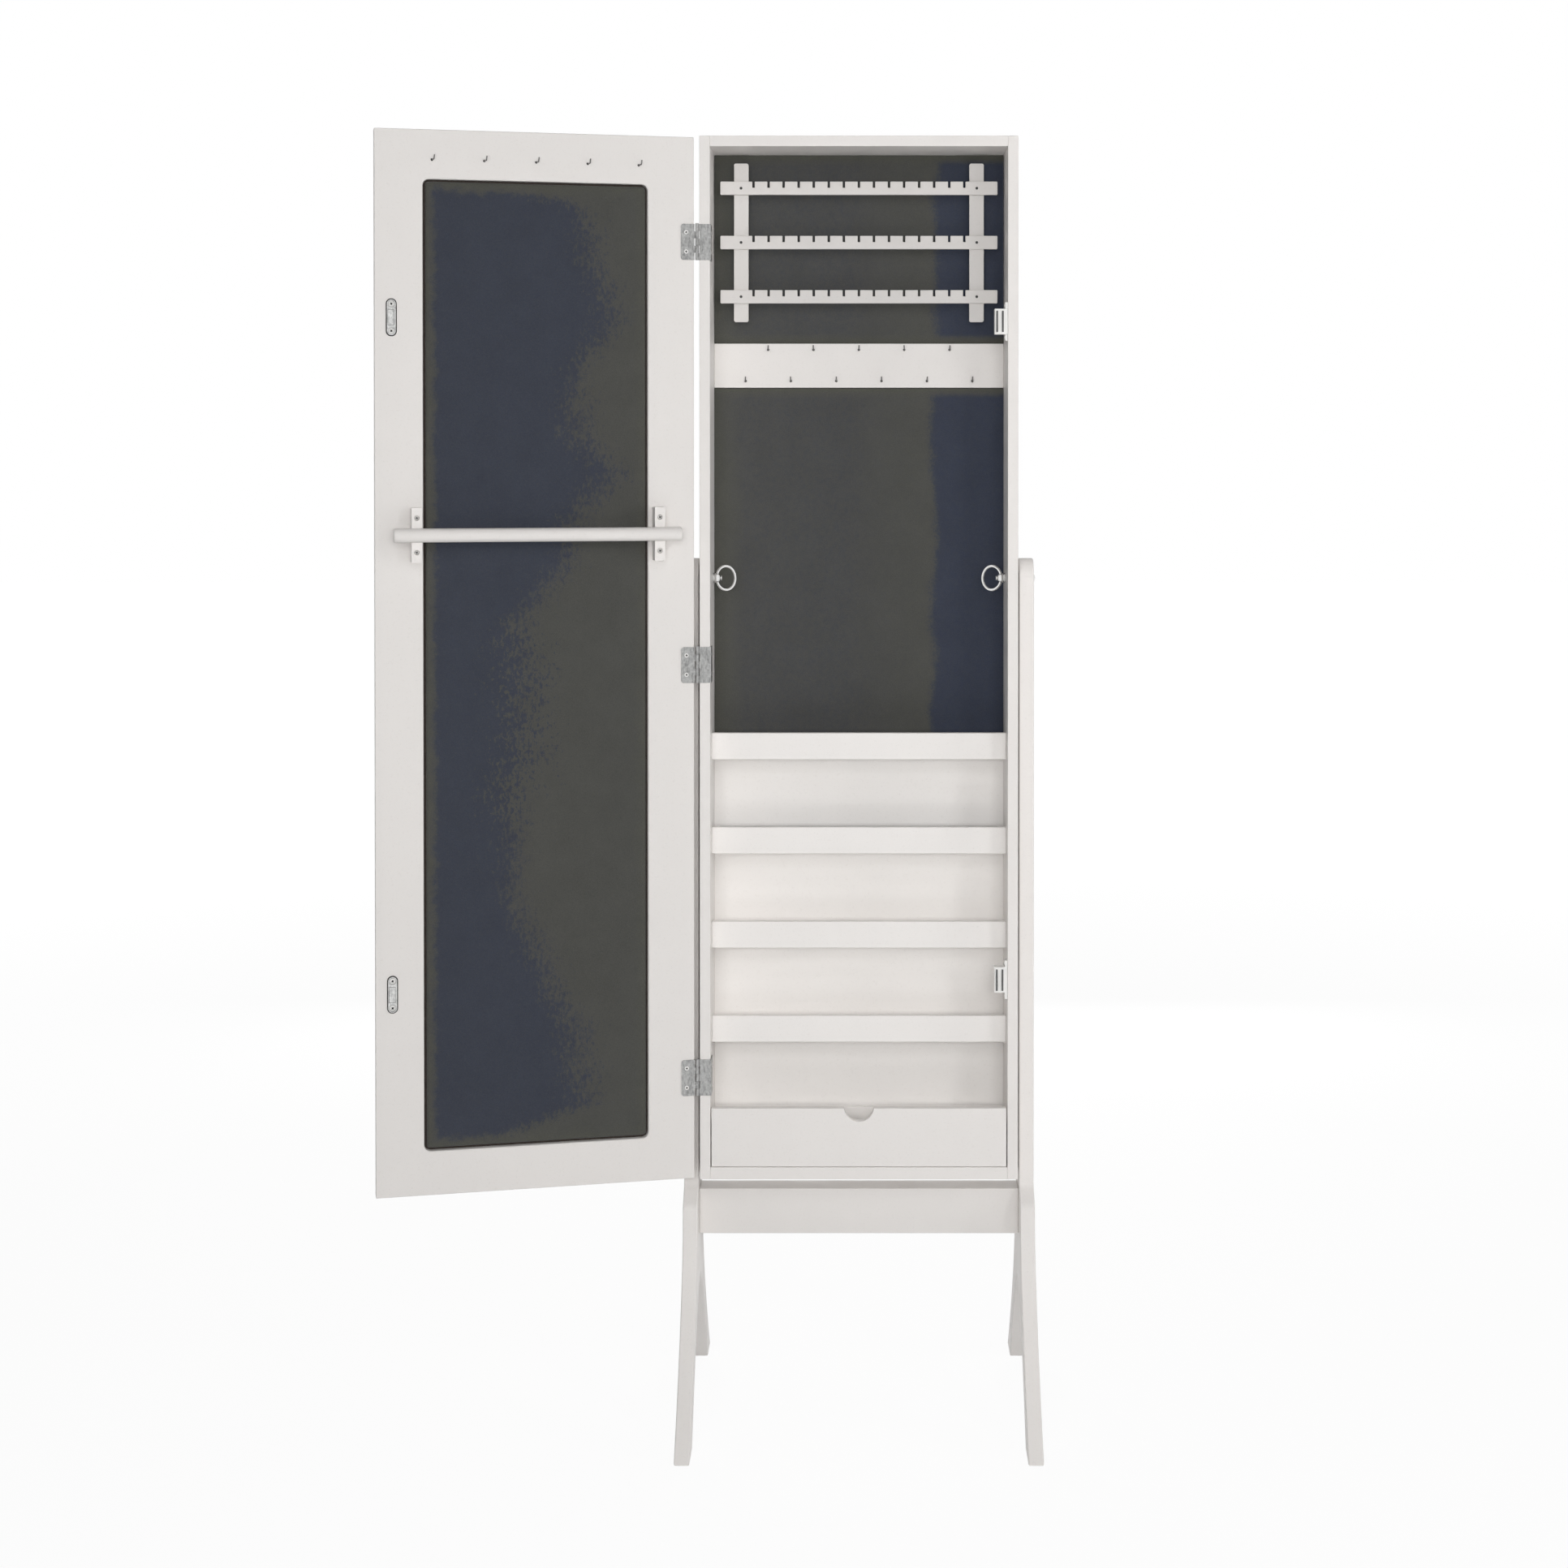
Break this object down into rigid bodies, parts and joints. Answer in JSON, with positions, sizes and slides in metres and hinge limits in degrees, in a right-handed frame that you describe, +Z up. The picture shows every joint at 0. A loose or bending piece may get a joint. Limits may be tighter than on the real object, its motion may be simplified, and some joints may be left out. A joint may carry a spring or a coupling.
{
  "type": "mirror cabinet",
  "caption": "Tall standing jewellery cabinet with a mirror door, velvet panels, hooks, earring rack, shelves and a tray, tilting between two side frames on splayed legs.",
  "frame": {"origin": "on the floor, midway between the two side frames, in the plane of the cabinet's front edges", "axes": "+Z up; the cabinet's open front faces -Y; +X to the viewer's right, away from the door's hinges"},
  "size_m": [0.7432, 0.38, 1.46],
  "materials": {
    "painted_board": "satin white paint on fibreboard",
    "grey_velvet": "short pile velvet over foam or board",
    "silvered_glass": "silvered float glass",
    "hardboard": "raw hardboard",
    "zinc_steel": "zinc plated, mottled",
    "bright_chrome": "polished plating",
    "white_plastic": "moulded",
    "dark_nylon": "moulded",
    "beech": "raw fluted dowel"
  },
  "bodies": {
    "stand": {"side_frame_left": "painted_board", "side_frame_right": "painted_board", "bottom_rail": "painted_board", "rail_bolts": "zinc_steel", "barrel_nuts": "zinc_steel", "rail_dowels": "beech", "pivot_caps": "bright_chrome", "spacer_washers": "dark_nylon"},
    "left_bolt": {"thumb_bolt_left": "bright_chrome"},
    "right_bolt": {"thumb_bolt_right": "bright_chrome"},
    "cabinet": {"wall_left": "painted_board", "wall_right": "painted_board", "top_board": "painted_board", "bottom_board": "painted_board", "back_panel": "painted_board", "upper_velvet": "grey_velvet", "lower_velvet": "grey_velvet", "hook_board": "painted_board", "necklace_hooks": "bright_chrome", "rack_upright_left": "painted_board", "rack_upright_right": "painted_board", "rack_bar_top": "painted_board", "rack_bar_middle": "painted_board", "rack_bar_bottom": "painted_board", "rack_spacers": "painted_board", "rack_screws": "zinc_steel", "shelf_1": "painted_board", "shelf_2": "painted_board", "shelf_3": "painted_board", "shelf_4": "painted_board", "lip_1": "painted_board", "lip_2": "painted_board", "lip_3": "painted_board", "lip_4": "painted_board", "ring_cushion": "grey_velvet", "catch_upper": "white_plastic", "catch_lower": "white_plastic", "catch_plates": "zinc_steel", "catch_screws": "zinc_steel", "hinge_leaf_low": "zinc_steel", "hinge_leaf_middle": "zinc_steel", "hinge_leaf_high": "zinc_steel", "hinge_pins": "zinc_steel", "hinge_wall_screws": "zinc_steel"},
    "door": {"door_frame": "painted_board", "mirror_glass": "silvered_glass", "mirror_backing": "hardboard", "door_pad": "grey_velvet", "door_hooks": "bright_chrome", "scarf_bar": "painted_board", "bar_brackets": "painted_board", "bracket_screws": "zinc_steel", "strike_plates": "zinc_steel", "door_leaves": "zinc_steel", "door_leaf_screws": "zinc_steel"},
    "tray": {"tray_front": "painted_board", "tray_walls": "painted_board", "tray_base": "painted_board"}
  },
  "joints": [
    {"name": "cabinet_tilt", "type": "hinge", "parent": "stand", "child": "cabinet", "pos_m": [0, 0.045, 0.955], "axis": [-1, 0, 0], "range_deg": [0, 12]},
    {"name": "door_swing", "type": "hinge", "parent": "cabinet", "child": "door", "pos_m": [-0.1839, -0.0015, 0.865], "axis": [0, 0, -1], "range_deg": [-167, 13]},
    {"name": "left_bolt_turn", "type": "hinge", "parent": "stand", "child": "left_bolt", "pos_m": [-0.1845, 0.045, 0.955], "axis": [1, 0, 0], "continuous": true},
    {"name": "right_bolt_turn", "type": "hinge", "parent": "stand", "child": "right_bolt", "pos_m": [0.1845, 0.045, 0.955], "axis": [1, 0, 0], "continuous": true},
    {"name": "tray_slide", "type": "slide", "parent": "cabinet", "child": "tray", "axis": [0, -1, 0], "range_m": [0, 0.065]}
  ]
}
